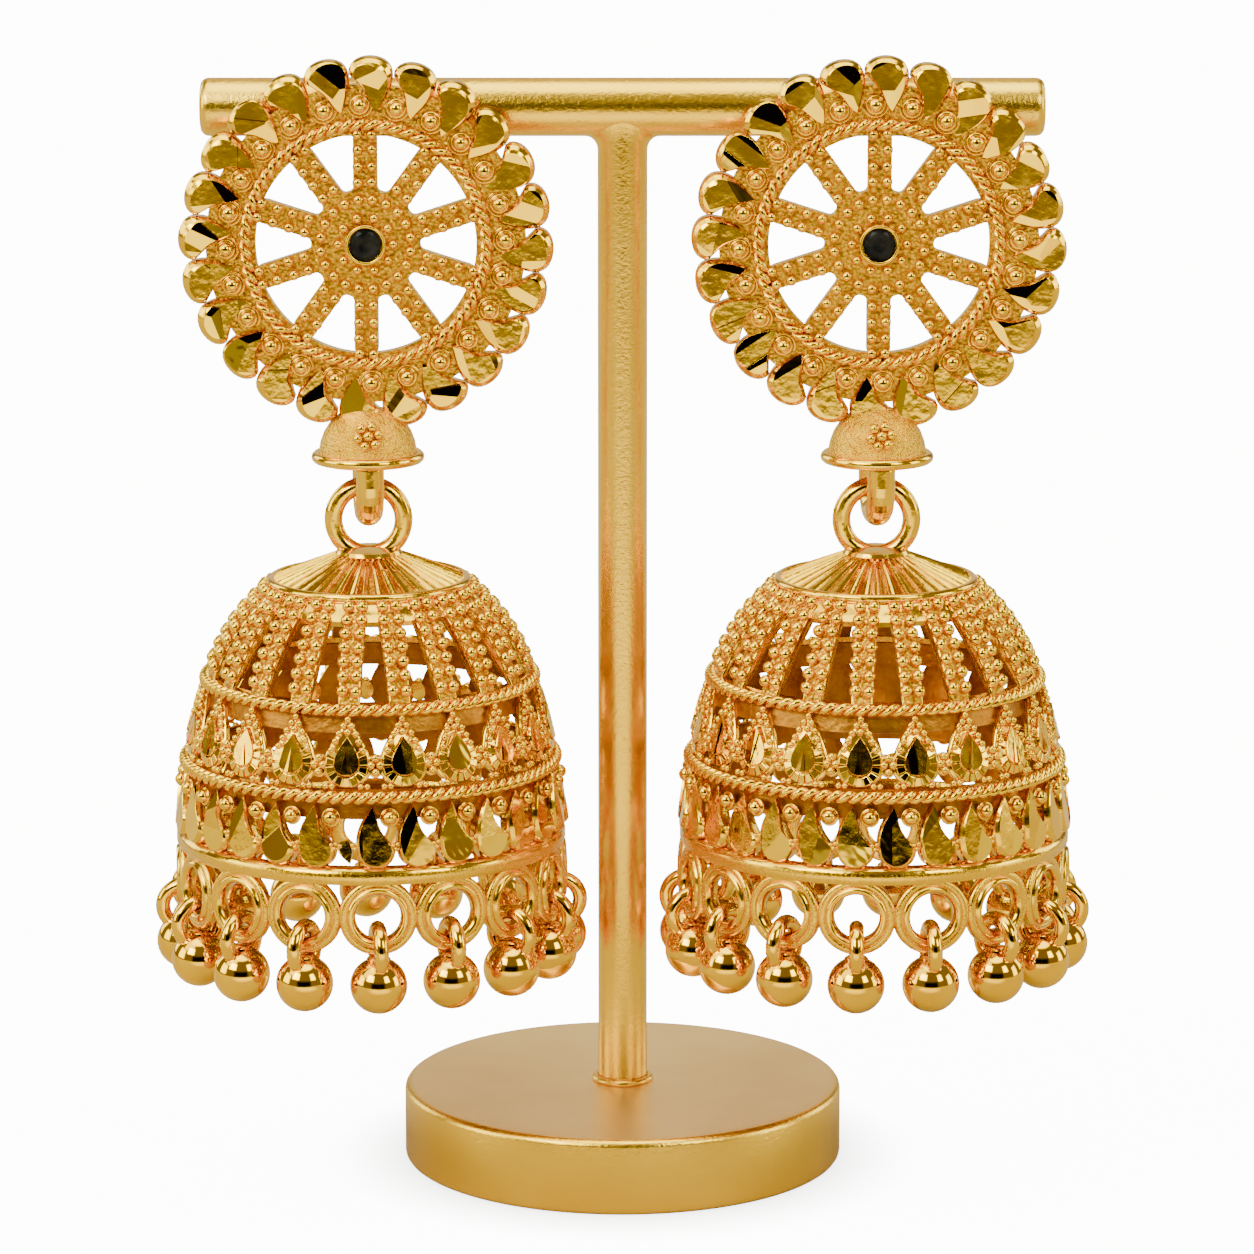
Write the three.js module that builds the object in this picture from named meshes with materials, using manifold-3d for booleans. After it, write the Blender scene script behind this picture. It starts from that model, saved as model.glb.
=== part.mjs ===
// A pair of gold jhumka earrings hanging on a small T-bar stand.
// Millimetres, +Z up, the viewer looks along +Y. The origin is the centre of the base's underside.
// Each earring is a soldered stud (pierced wheel, petals, cap and hook), a stone, a screw back, a pierced
// bell that swings on the stud's hook, and ball drops whose links pass through the bell's rim rings.
import * as THREE from "three";
import { mergeVertices } from "three/addons/utils/BufferGeometryUtils.js";
import Module from "manifold-3d";

const wasm = await Module();
wasm.setup();

const turn = Math.PI * 2;
const flatness = 0.002;
const degrees = THREE.MathUtils.degToRad;

// Driving dimensions: the stand
const base = { radius: 15.9, height: 5.5, bevel: 0.45, sides: 32 };
const bar = { radius: 2.07, length: 59.7, z: 76.9, sides: 12, bevel: 0.35 };
const post = { radius: 1.77, seat: 0.03 };
const collar = { radius: 2.25, height: 0.5 };
const fillet = { radius: 2.9, drop: 1.5 };
const earPost = { radius: 0.45, hole: 0.75, rear: 5.6, z: bar.z };
const screwBack = { radius: 2.1, front: 2.4, rear: 4.4, sides: 10 };

// Driving dimensions: the stud
const earringX = 18.1;
const hangY = -2.8;
const wheel = { z: 67.6, back: -2.4, front: -3.4, valley: 10.9, tip: 13.2, petals: 24, spokes: 10 };
const spoke = { halfWidth: 0.85, hub: 3.7, opening: 7.8 };
const petal = { size: 0.92, thick: 0.9, sunk: 0.3, r: 11.5 };
const stone = { girdle: 1.15, table: 0.6, back: -3.9, crown: -4.3, sides: 12 };
const bezel = { inner: 1.35, outer: 1.65, floor: -3.6, front: -4.1 };
const hook = { wire: 1.0, bend: 2.2, z: 50.5, top: 54.3, topBend: 1.6, bends: 6 };

// Driving dimensions: the bell and its drops
const bellRing = { wire: 0.65, radius: 2.5, z: 47.75 };
const rib = { count: 20, slotInner: 4, slotReach: 12 };
const plaque = { thick: 1.0, sunk: 0.6, r: 12.4, z: 33.2, lean: 14 };
const paisley = { count: 29, seamGap: 17.6, size: 0.82, thick: 1.0, sunk: 0.6, r: 13.45, z: 27.75, lean: 7 };
const rimRing = { count: 16, radius: 13.5, thick: 0.9, hole: 1.65, z: 22.0, foot: 19.25, top: 24.5 };
const link = { radius: 1.58, wire: 0.52, segments: 10, sides: 5, drop: 0.75 };
const ball = { radius: 2.0, sides: 10, drop: 3.3 };

const gold = new THREE.MeshStandardMaterial({ color: 0xe0a52c, metalness: 1, roughness: 0.3 });
const polishedGold = new THREE.MeshStandardMaterial({ color: 0xe8ae30, metalness: 1, roughness: 0.12 });
const satinGold = new THREE.MeshStandardMaterial({ color: 0xc79a45, metalness: 1, roughness: 0.45 });
const blackStone = new THREE.MeshStandardMaterial({ color: 0x0b0b0a, metalness: 0, roughness: 0.05 });

// A closed three.js geometry as a solid that can be cut and joined.
function solidOf(geometry) {
  const bare = geometry.index ? geometry.toNonIndexed() : geometry.clone();
  bare.deleteAttribute("normal");
  bare.deleteAttribute("uv");
  const merged = mergeVertices(bare, 1e-4);
  return new wasm.Manifold(
    new wasm.Mesh({
      numProp: 3,
      vertProperties: merged.attributes.position.array,
      triVerts: new Uint32Array(merged.index.array),
    }),
  );
}

// A solid's own triangles as a three.js geometry, without the needless points that cuts leave on flat faces.
function geometryOf(solid) {
  const mesh = solid.asOriginal().simplify(flatness).getMesh();
  const flat = new THREE.BufferGeometry();
  flat.setAttribute("position", new THREE.BufferAttribute(new Float32Array(mesh.vertProperties), 3));
  flat.setIndex(new THREE.BufferAttribute(new Uint32Array(mesh.triVerts), 1));
  return flat;
}

function joined(solids) {
  return solids.reduce((whole, next) => whole.add(next));
}

// A profile of { r, z } rows turned about the Z axis. Side 0 has its middle at the front, at angle middle.
function revolved(rows, sides, middle = 0) {
  const points = rows.map((row) => new THREE.Vector2(row.r, row.z));
  const start = degrees(middle) - turn / sides / 2;
  return solidOf(new THREE.LatheGeometry(points, sides, start, turn).rotateX(Math.PI / 2));
}

// A flat outline [[u, v], ...] given a thickness, u to the right and v up, facing the viewer at y = -thick.
function plate(outline, thick, holes = []) {
  const shape = new THREE.Shape(outline.map(([u, v]) => new THREE.Vector2(u, v)));
  for (const hole of holes) shape.holes.push(new THREE.Path(hole.map(([u, v]) => new THREE.Vector2(u, v))));
  return new THREE.ExtrudeGeometry(shape, { depth: thick, bevelEnabled: false }).rotateX(Math.PI / 2);
}

// A piece that faces the viewer, leant back by lean degrees, set at radius r and height z, and turned about Z
// to its place round the bell: angle 0 is the front, and more is to the right.
function atAngle(geometry, angle, r, z, lean = 0) {
  return solidOf(geometry.rotateX(degrees(-lean)).translate(0, -r, z).rotateZ(degrees(angle)));
}

// Stand base: a heavy disc with bevelled edges.
function standBase() {
  const { radius, height, bevel, sides } = base;
  return revolved(
    [
      { r: 0, z: 0 },
      { r: radius - bevel, z: 0 },
      { r: radius, z: bevel },
      { r: radius, z: height - bevel },
      { r: radius - bevel, z: height },
      { r: 0, z: height },
    ],
    sides,
  );
}

// Stand tee: the post with its foot collar, the crossbar, the fillet between them, and the ear posts' holes.
function standTee() {
  const upright = revolved(
    [
      { r: 0, z: base.height + post.seat },
      { r: collar.radius, z: base.height + post.seat },
      { r: collar.radius, z: base.height + collar.height },
      { r: post.radius, z: base.height + collar.height + 0.15 },
      { r: post.radius, z: bar.z - bar.radius - fillet.drop },
      { r: post.radius + 0.35, z: bar.z - bar.radius - fillet.drop / 2 },
      { r: fillet.radius, z: bar.z - bar.radius + 0.2 },
      { r: 0.4, z: bar.z - 0.2 },
      { r: 0, z: bar.z - 0.2 },
    ],
    bar.sides,
  );
  const half = bar.length / 2;
  const crossbar = revolved(
    [
      { r: 0, z: -half },
      { r: bar.radius - bar.bevel, z: -half },
      { r: bar.radius, z: -half + bar.bevel },
      { r: bar.radius, z: half - bar.bevel },
      { r: bar.radius - bar.bevel, z: half },
      { r: 0, z: half },
    ],
    bar.sides,
  )
    .rotate([0, 90, 0])
    .translate([0, 0, bar.z]);
  const bore = new THREE.CylinderGeometry(earPost.hole, earPost.hole, 6, 8);
  const drill = (x) => solidOf(bore).translate([x, 0, bar.z]);
  return upright.add(crossbar).subtract(drill(-earringX)).subtract(drill(earringX));
}

// The wheel's outline: a valley and two tip corners to each petal.
function scallops() {
  const pitch = 360 / wheel.petals;
  const corners = [
    { share: -0.5, r: wheel.valley },
    { share: -0.26, r: wheel.tip },
    { share: 0.26, r: wheel.tip },
  ];
  const points = [];
  for (let index = 0; index < wheel.petals; index++)
    for (const corner of corners) {
      const angle = degrees(90 + (index + corner.share) * pitch);
      points.push([corner.r * Math.cos(angle), corner.r * Math.sin(angle)]);
    }
  return points;
}

// One opening between two spokes: two corners at the hub and three on the arc under the rope.
function opening(index) {
  const pitch = turn / wheel.spokes;
  const middle = turn / 4 + pitch * (index + 0.5);
  const spread = (r) => pitch / 2 - Math.asin(spoke.halfWidth / r);
  const corners = [-1, 0, 1].map((share) => ({ r: spoke.opening, angle: share * spread(spoke.opening) }));
  corners.push({ r: spoke.hub, angle: spread(spoke.hub) }, { r: spoke.hub, angle: -spread(spoke.hub) });
  return corners.map(({ r, angle }) => [r * Math.cos(middle + angle), r * Math.sin(middle + angle)]);
}

// A comma outline: round head up and a tail curling down on the right.
function comma(size) {
  const outline = [
    [0.3, -2.3],
    [1.1, 0],
    [0.6, 1.3],
    [-0.7, 1.2],
    [-1.0, 0],
  ];
  return outline.map(([u, v]) => [u * size, v * size]);
}

// Stud: wheel, petals, rope ring, bezel, ear post, cap and hook, all soldered into one.
function stud() {
  const openings = Array.from({ length: wheel.spokes }, (_, index) => opening(index));
  const flat = [solidOf(plate(scallops(), wheel.back - wheel.front, openings).translate(0, wheel.back, 0))];
  for (let index = 0; index < wheel.petals; index++) {
    const raised = plate(comma(petal.size), petal.thick).translate(0, wheel.front + petal.sunk, petal.r);
    flat.push(solidOf(raised.rotateY((turn / wheel.petals) * index)));
  }
  flat.push(facing(rope(), 20), facing(bezelRows(), stone.sides));
  const length = earPost.rear - wheel.back + 0.4;
  const pin = new THREE.CylinderGeometry(earPost.radius, earPost.radius, length, 8);
  flat.push(solidOf(pin.translate(0, earPost.rear - length / 2, earPost.z - wheel.z)));
  return joined(flat)
    .translate([0, 0, wheel.z])
    .add(cap().add(hookLoop()).translate([0, hangY, 0]));
}

// Rows turned about the wheel's own axis, z counting towards the viewer.
function facing(rows, sides) {
  return revolved(rows, sides).rotate([90, 0, 0]);
}

function rope() {
  return [
    { r: 8.05, z: 3.2 },
    { r: 8.95, z: 3.2 },
    { r: 8.5, z: 3.85 },
    { r: 8.05, z: 3.2 },
  ];
}

function bezelRows() {
  return [
    { r: 0, z: 3.2 },
    { r: bezel.outer, z: 3.2 },
    { r: bezel.outer - 0.1, z: -bezel.front },
    { r: bezel.inner, z: -bezel.front },
    { r: bezel.inner, z: -bezel.floor },
    { r: 0, z: -bezel.floor },
  ];
}

// Cap: a small hollow dome under the wheel, with a rolled rim.
function cap() {
  return revolved(
    [
      { r: 0, z: 54.6 },
      { r: 2.7, z: 53.6 },
      { r: 3.5, z: 51.9 },
      { r: 4.05, z: 52.3 },
      { r: 3.45, z: 52.8 },
      { r: 2.6, z: 55.0 },
      { r: 0, z: 55.9 },
    ],
    10,
  );
}

// Hook: a U of round wire in the fore-and-aft plane, its legs soldered up inside the cap.
function hookLoop() {
  const points = [new THREE.Vector3(0, -hook.topBend, hook.top)];
  for (let step = 0; step <= hook.bends; step++) {
    const angle = Math.PI + (Math.PI * step) / hook.bends;
    points.push(new THREE.Vector3(0, hook.bend * Math.cos(angle), hook.z + hook.bend * Math.sin(angle)));
  }
  points.push(new THREE.Vector3(0, hook.topBend, hook.top));
  const section = new THREE.Shape(
    Array.from({ length: 5 }, (_, side) => {
      const angle = (turn * (side + 0.5)) / 5;
      return new THREE.Vector2(hook.wire * Math.cos(angle), hook.wire * Math.sin(angle));
    }),
  );
  const path = new THREE.CatmullRomCurve3(points, false, "centripetal");
  return solidOf(
    new THREE.ExtrudeGeometry(section, { steps: points.length + 1, extrudePath: path, bevelEnabled: false }),
  );
}

// Stone: a round cut with a table and twelve crown facets.
function centreStone() {
  const rows = [
    { r: 0, z: -stone.back },
    { r: stone.girdle, z: -stone.back + 0.15 },
    { r: stone.girdle, z: -stone.back + 0.25 },
    { r: stone.table, z: -stone.crown },
    { r: 0, z: -stone.crown },
  ];
  return facing(rows, stone.sides).translate([0, 0, wheel.z]);
}

// Screw back: a plain domed nut behind the crossbar.
function screwBackNut() {
  const { radius, front, rear, sides } = screwBack;
  return revolved(
    [
      { r: earPost.hole, z: front },
      { r: radius, z: front },
      { r: radius, z: rear - 0.7 },
      { r: radius - 0.7, z: rear },
      { r: earPost.hole, z: rear },
      { r: earPost.hole, z: front },
    ],
    sides,
  )
    .rotate([-90, 0, 0])
    .translate([0, 0, earPost.z]);
}

// The bell's wall from the band's foot up over the ropes and ribs to the neck, and back down inside.
const bellWall = [
  { r: 13.0, z: 24.3 }, // inner foot
  { r: 14.4, z: 24.3 }, // band
  { r: 14.4, z: 25.2 },
  { r: 13.75, z: 25.5 }, // paisley row
  { r: 13.2, z: 30.0 },
  { r: 13.7, z: 30.5 }, // lower rope
  { r: 13.0, z: 31.0 },
  { r: 11.8, z: 35.9 }, // drop row
  { r: 12.15, z: 36.4 }, // upper rope
  { r: 11.5, z: 36.9 },
  { r: 10.0, z: 39.8 }, // ribs
  { r: 7.3, z: 42.7 }, // crown
  { r: 6.7, z: 43.4 },
  { r: 2.2, z: 45.3 }, // neck
  { r: 0, z: 45.3 },
];
const bellHollow = [
  { r: 0, z: 43.9 },
  { r: 6.2, z: 42.1 },
  { r: 10.9, z: 36.4 },
  { r: 13.0, z: 24.3 },
];

// Bell: wall, pierced slots, raised plaques and paisleys, rim rings and hanging ring, all soldered into one.
// starts holds the angles of a rib, of a rim ring and of the paisley on the left of the row's wider gap.
function bell(starts) {
  const pitch = 360 / rib.count;
  const slot = [
    [-0.95, 37.1],
    [0.95, 37.1],
    [0.4, 41.8],
    [-0.4, 41.8],
  ];
  const kite = [
    [0, -1.75],
    [1.4, -0.5],
    [0, 2.35],
    [-1.4, -0.5],
  ];
  const raised = (outline, piece, angle) =>
    atAngle(plate(outline, piece.thick).translate(0, piece.sunk, 0), angle, piece.r, piece.z, piece.lean);
  let wall = revolved([...bellWall, ...bellHollow], rib.count, starts.rib);
  for (let index = 0; index < rib.count; index++) {
    const angle = starts.rib + index * pitch;
    wall = wall.subtract(atAngle(plate(slot, rib.slotReach), angle + pitch / 2, rib.slotInner, 0));
    wall = wall.add(raised(kite, plaque, angle));
  }
  const hanging = comma(-paisley.size).map(([u, v]) => [-u, v]);
  const spacing = (360 - paisley.seamGap) / (paisley.count - 1);
  for (let index = 0; index < paisley.count; index++)
    wall = wall.add(raised(hanging, paisley, starts.seam + paisley.seamGap + index * spacing));
  return wall.add(rimRings(starts.ring)).add(hangingRing());
}

// The row of rim rings: one sixteen-sided strip with round holes, and a notch between each two rings' feet.
function rimRings(start) {
  const { count, radius, thick, hole, z, foot, top } = rimRing;
  const corner = Math.cos(Math.PI / count);
  const inner = (radius - thick / 2) / corner;
  const outer = (radius + thick / 2) / corner;
  let strip = revolved(
    [
      { r: inner, z: foot },
      { r: outer, z: foot },
      { r: outer, z: top },
      { r: inner, z: top },
      { r: inner, z: foot },
    ],
    count,
    start,
  );
  const notch = [
    [-1.7, foot - 0.1],
    [1.7, foot - 0.1],
    [0, foot + 2.2],
  ];
  for (let ring = 0; ring < count; ring++) {
    const angle = start + (ring * 360) / count;
    const bore = new THREE.CylinderGeometry(hole, hole, 4, 8);
    strip = strip.subtract(atAngle(bore, angle, radius, z));
    strip = strip.subtract(atAngle(plate(notch, 4), angle + 180 / count, radius - 2, 0));
  }
  return strip;
}

function hangingRing() {
  const ring = new THREE.TorusGeometry(bellRing.radius, bellRing.wire, 5, 10);
  return solidOf(ring.rotateX(Math.PI / 2).translate(0, 0, bellRing.z));
}

// Drop: a ball, flat on top where its link is soldered. The link stands in the radial plane of a rim ring.
function drop() {
  const ringFoot = rimRing.z - rimRing.hole;
  const shoulder = ball.radius * Math.SQRT1_2;
  const round = revolved(
    [
      { r: 0, z: -ball.radius },
      { r: shoulder, z: -shoulder },
      { r: ball.radius, z: 0 },
      { r: shoulder, z: shoulder },
      { r: 0, z: shoulder },
    ],
    ball.sides,
    180 / ball.sides,
  ).translate([0, 0, ringFoot - ball.drop]);
  const loop = new THREE.TorusGeometry(link.radius, link.wire, link.sides, link.segments);
  loop.rotateZ(Math.PI / 2 + Math.PI / link.segments).rotateX(Math.PI / 2).rotateZ(Math.PI / 2);
  return round.add(solidOf(loop.translate(0, 0, ringFoot - link.drop)));
}

function named(name, solid, material) {
  const mesh = new THREE.Mesh(geometryOf(solid), material);
  mesh.name = name;
  return mesh;
}

// One earring: the stud and its screw back stay on the stand, and the bell hangs on the hook.
function earring(side, x, starts) {
  const whole = new THREE.Group();
  whole.position.x = x;
  whole.add(named(`${side}_stud`, stud(), gold));
  whole.add(named(`${side}_stone`, centreStone(), blackStone));
  whole.add(named(`${side}_screw_back`, screwBackNut(), gold));
  const swinging = new THREE.Group();
  swinging.position.y = hangY;
  swinging.add(named(`${side}_bell`, bell(starts), gold));
  const oneDrop = drop();
  for (let index = 0; index < rimRing.count; index++) {
    const angle = degrees(starts.ring + (index * 360) / rimRing.count);
    const piece = named(`${side}_drop_${String(index + 1).padStart(2, "0")}`, oneDrop, polishedGold);
    piece.position.set(rimRing.radius * Math.sin(angle), -rimRing.radius * Math.cos(angle), 0);
    piece.rotation.z = angle;
    swinging.add(piece);
  }
  whole.add(swinging);
  return whole;
}

const display = new THREE.Group();
display.add(named("stand_base", standBase(), satinGold));
display.add(named("stand_tee", standTee(), satinGold));
display.add(earring("left", -earringX, { rib: -5, ring: 4.3, seam: -13.7 }));
display.add(earring("right", earringX, { rib: -7, ring: -7.3, seam: 163.5 }));

export default display;
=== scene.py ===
import math
import random

import bmesh
import bpy
from mathutils import Matrix, Vector


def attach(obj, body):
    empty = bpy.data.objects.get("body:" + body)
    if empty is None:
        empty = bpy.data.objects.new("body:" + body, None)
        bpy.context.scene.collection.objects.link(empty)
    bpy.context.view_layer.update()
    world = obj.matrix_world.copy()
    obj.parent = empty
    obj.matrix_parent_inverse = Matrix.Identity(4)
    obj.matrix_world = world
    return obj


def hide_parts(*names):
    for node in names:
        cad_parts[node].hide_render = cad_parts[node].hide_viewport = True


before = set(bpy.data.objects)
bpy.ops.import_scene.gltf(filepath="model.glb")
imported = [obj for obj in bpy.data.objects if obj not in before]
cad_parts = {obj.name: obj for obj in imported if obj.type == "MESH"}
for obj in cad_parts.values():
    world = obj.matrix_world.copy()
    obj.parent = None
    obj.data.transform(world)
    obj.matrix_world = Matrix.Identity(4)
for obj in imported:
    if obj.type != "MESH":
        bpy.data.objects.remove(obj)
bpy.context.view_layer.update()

# A pair of gold jhumka earrings on a T-bar stand. Parts are shaped in millimetres and turned into metres
# when a piece is finished. +Z is up, the viewer looks along +Y, and the origin is under the base's middle.
chance = random.Random(7)

MM = 0.001
CENTRE = Vector((0, 0, 0))
UP = Vector((0, 0, 1))
FULL_TURN = 2 * math.pi
QUARTER_STEPS = [math.pi / 8 * step for step in range(5)]

# Stand
BASE_RADIUS, BASE_HEIGHT, BASE_BEVEL = 15.9, 5.5, 0.5
POST_RADIUS, COLLAR_WIRE = 1.77, 0.24
BAR_RADIUS, BAR_LENGTH, BAR_Z, BAR_EDGE = 2.07, 59.7, 76.9, 0.6
FILLET_REACH, FILLET_CLIMB, FILLET_LENGTH = 2.65, 80, 1.0

# Stud
EARRING_X, HANG_Y = {"left": -18.1, "right": 18.1}, -2.8
WHEEL_Z, WHEEL_FRONT, WHEEL_THICK = 67.6, -3.4, 1.0
SPOKES, SPOKE_HALF, HUB_RADIUS, OPENING_RADIUS, PLATE_RADIUS = 10, 0.85, 3.85, 7.8, 11.3
WHEEL_ROPE_RADIUS = 8.5
PETALS, PETAL_MIDDLE, PETAL_BALL_CIRCLE = 24, 11.25, 9.85
STONE_RADIUS = 1.17
CAP_RIM, CAP_RIM_Z = 4.05, 52.3
HOOK_BEND, HOOK_WIRE, HOOK_Z, HOOK_TOP, HOOK_YAW = 2.2, 1.0, 50.5, 54.3, 6

# Bell
BELL_RING_RADIUS, BELL_RING_WIRE, BELL_RING_Z = 2.5, 0.65, 47.75
RIBS, RIB_HALF = 20, 0.78
UPPER_ROPE, LOWER_ROPE = (11.75, 36.4), (13.25, 30.5)
PLAQUE_SEAT, PLAQUE_LEAN = (12.45, 33.35), 14
PAISLEYS, PAISLEY_GAP = 29, 17.6
PAISLEY_SEAT, PAISLEY_LEAN = (13.45, 27.75), 8
RIM_RINGS, RIM_RING_SEAT = 16, (13.5, 22.0)
LINK_RADIUS, LINK_WIRE, LINK_Z = 1.56, 0.53, 19.6
BALL_RADIUS, BALL_Z = 2.02, 17.05

# Where round each bell a rib, a rim ring and the paisleys' wider gap begin, in degrees from the front
STARTS = {"left": {"rib": -5, "ring": 4.3, "gap": -13.7}, "right": {"rib": -7, "ring": -7.3, "gap": 163.5}}


# Finishes


def finish(name, color, roughness, metallic=1.0):
    """A new material with its shader's plain values set."""
    material = bpy.data.materials.new(name)
    material.use_nodes = True
    shader = material.node_tree.nodes["Principled BSDF"]
    shader.inputs["Base Color"].default_value = (*color, 1)
    shader.inputs["Roughness"].default_value = roughness
    shader.inputs["Metallic"].default_value = metallic
    return material


def node(material, kind, inputs=None, **settings):
    """A node with its settings, its inputs given as values or as another node's output."""
    new = material.node_tree.nodes.new(kind)
    for name, value in settings.items():
        setattr(new, name, value)
    for name, value in (inputs or {}).items():
        if isinstance(value, bpy.types.NodeSocket):
            material.node_tree.links.new(value, new.inputs[name])
        else:
            new.inputs[name].default_value = value
    return new


def place_on_object(material, scale=(1, 1, 1)):
    """Object coordinates, stretched by scale."""
    where = node(material, "ShaderNodeTexCoord").outputs["Object"]
    return node(material, "ShaderNodeMapping", {"Vector": where, "Scale": scale}).outputs["Vector"]


def combined(material, operation, first, second):
    """Two patterns, or a pattern and a number, put together by an operation."""
    return node(material, "ShaderNodeMath", {0: first, 1: second}, operation=operation).outputs[0]


def noise(material, where, scale, detail=2.0, roughness=0.5):
    values = {"Vector": where, "Scale": scale, "Detail": detail, "Roughness": roughness}
    return node(material, "ShaderNodeTexNoise", values).outputs["Fac"]


def blend_colors(material, amount, first, second, low=0.35, high=0.65):
    """Two colours mixed by a pattern, from first at low to second at high."""
    ramp = node(material, "ShaderNodeValToRGB", {"Fac": amount})
    ramp.color_ramp.elements[0].position = low
    ramp.color_ramp.elements[0].color = (*first, 1)
    ramp.color_ramp.elements[1].position = high
    ramp.color_ramp.elements[1].color = (*second, 1)
    return ramp.outputs["Color"]


def spread(material, amount, low, high, low_in=0.3, high_in=0.7):
    """A pattern stretched to run from low to high."""
    values = {"Value": amount, "From Min": low_in, "From Max": high_in, "To Min": low, "To Max": high}
    return node(material, "ShaderNodeMapRange", values).outputs["Result"]


def relief(material, height, depth, strength=1.0, under=None):
    """Bumps of a depth in metres, over any bumps under them."""
    values = {"Height": height, "Distance": depth, "Strength": strength}
    if under is not None:
        values["Normal"] = under
    return node(material, "ShaderNodeBump", values).outputs["Normal"]


def use(material, **sockets):
    """Joins patterns to the shader's sockets."""
    shader = material.node_tree.nodes["Principled BSDF"]
    for name, output in sockets.items():
        material.node_tree.links.new(output, shader.inputs[name.replace("_", " ")])
    return material


def polished_gold():
    """Cast gold, buffed bright: soft ripples, slightly redder and duller in patches."""
    material = finish("polished_gold", (0.95, 0.56, 0.03), 0.14)
    where = place_on_object(material)
    patches = noise(material, where, 420, 3)
    ripples = noise(material, where, 1500, 2)
    color = blend_colors(material, patches, (0.86, 0.48, 0.003), (0.97, 0.58, 0.008))
    dullness = spread(material, noise(material, where, 900, 4), 0.07, 0.22)
    normal = relief(material, ripples, 0.00006, 0.5)
    return use(material, Base_Color=color, Roughness=dullness, Normal=normal)


def mirror_gold():
    """Balls and links, polished to a mirror."""
    material = finish("mirror_gold", (1.0, 0.69, 0.2), 0.05)
    where = place_on_object(material)
    color = blend_colors(material, noise(material, where, 300, 2), (0.9, 0.49, 0.003), (0.98, 0.56, 0.008))
    dullness = spread(material, noise(material, where, 2500, 3), 0.03, 0.09)
    return use(material, Base_Color=color, Roughness=dullness)


def cut_gold():
    """Facets cut with a bright tool: paler, with fine tool lines that fade in and out."""
    material = finish("cut_gold", (1.0, 0.84, 0.42), 0.05)
    where = place_on_object(material)
    tool_lines = node(
        material,
        "ShaderNodeTexWave",
        {"Vector": place_on_object(material, (1, 0.6, 0.7)), "Scale": 900, "Distortion": 2.5, "Detail": 1},
        bands_direction="DIAGONAL",
    ).outputs["Fac"]
    hatched = spread(material, noise(material, where, 240, 2), 0, 1, 0.48, 0.62)
    lines = combined(material, "MULTIPLY", tool_lines, hatched)
    color = blend_colors(material, noise(material, where, 350, 3), (1.0, 0.56, 0.006), (1.0, 0.65, 0.02))
    fine = relief(material, lines, 0.000012, 0.35)
    creased = relief(material, noise(material, where, 500, 2), 0.00005, 0.5, fine)
    return use(material, Base_Color=color, Normal=creased)


def grained_gold():
    """The ground between beads: rough grains that catch the light, with painted shade making the hollows
    redder and darker.
    """
    material = finish("grained_gold", (0.95, 0.6, 0.14), 0.3)
    where = place_on_object(material)
    grains = node(material, "ShaderNodeTexVoronoi", {"Vector": where, "Scale": 3200}).outputs["Distance"]
    # Painted shade: the grain hollows are darker and redder.
    color = blend_colors(material, grains, (0.78, 0.42, 0.004), (0.5, 0.22, 0.002), 0.2, 0.75)
    hollow = combined(material, "MULTIPLY", grains, -1.0)
    fine = relief(material, noise(material, where, 5200, 4), 0.00005, 0.6)
    return use(material, Base_Color=color, Normal=relief(material, hollow, 0.00016, 0.8, fine))


def blasted_gold():
    """The cap: blasted to a fine even grain."""
    material = finish("blasted_gold", (0.98, 0.56, 0.01), 0.24)
    where = place_on_object(material)
    grain = noise(material, where, 3000, 3, 0.7)
    color = blend_colors(material, noise(material, where, 700, 2), (0.84, 0.44, 0.003), (0.96, 0.54, 0.008))
    return use(material, Base_Color=color, Normal=relief(material, grain, 0.0004, 0.9))


def brushed_gold():
    """Flat faces brushed outwards from a ring's middle. The U of the map runs round the ring."""
    material = finish("brushed_gold", (1.0, 0.71, 0.25), 0.2)
    around = node(material, "ShaderNodeUVMap", uv_map="brushing").outputs["UV"]
    strokes = node(material, "ShaderNodeMapping", {"Vector": around, "Scale": (110, 3, 1)})
    lines = noise(material, strokes.outputs["Vector"], 1.0, 3, 0.6)
    dullness = spread(material, lines, 0.1, 0.24)
    color = blend_colors(material, lines, (0.84, 0.45, 0.004), (0.98, 0.58, 0.012))
    return use(material, Base_Color=color, Roughness=dullness, Normal=relief(material, lines, 0.00005, 0.8))


def satin_gold():
    """The stand: champagne gold with a fine blasted grain, a touch deeper in patches."""
    material = finish("satin_gold", (0.84, 0.58, 0.22), 0.24)
    where = place_on_object(material)
    color = blend_colors(material, noise(material, where, 90, 3), (0.88, 0.5, 0.02), (0.96, 0.58, 0.04))
    grain = noise(material, where, 3600, 3, 0.65)
    return use(material, Base_Color=color, Normal=relief(material, grain, 0.00005, 0.7))


def matt_gold_painted_pale():
    """The top of the base: the same gold, matt, and painted paler as light falling on the top."""
    material = finish("matt_gold_painted_pale", (0.85, 0.66, 0.4), 0.38)
    where = place_on_object(material)
    color = blend_colors(material, noise(material, where, 120, 3), (0.92, 0.63, 0.24), (0.98, 0.7, 0.3))
    grain = noise(material, where, 7000, 2)
    return use(material, Base_Color=color, Normal=relief(material, grain, 0.00003, 0.5))


def painted_shade_gold():
    """Backs and insides: rougher, as left from the cast, and coloured a dark red-brown as painted shade."""
    material = finish("painted_shade_gold", (0.4, 0.15, 0.01), 0.38)
    where = place_on_object(material)
    color = blend_colors(material, noise(material, where, 600, 4), (0.3, 0.1, 0.006), (0.45, 0.18, 0.012))
    rough = noise(material, where, 2600, 3)
    return use(material, Base_Color=color, Normal=relief(material, rough, 0.00008, 0.7))


def black_stone():
    material = finish("black_stone", (0.006, 0.006, 0.006), 0.03, metallic=0)
    material.node_tree.nodes["Principled BSDF"].inputs["Specular IOR Level"].default_value = 0.06
    where = place_on_object(material)
    clouds = noise(material, where, 900, 3)
    color = blend_colors(material, clouds, (0.004, 0.004, 0.004), (0.02, 0.018, 0.015))
    return use(material, Base_Color=color)


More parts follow.
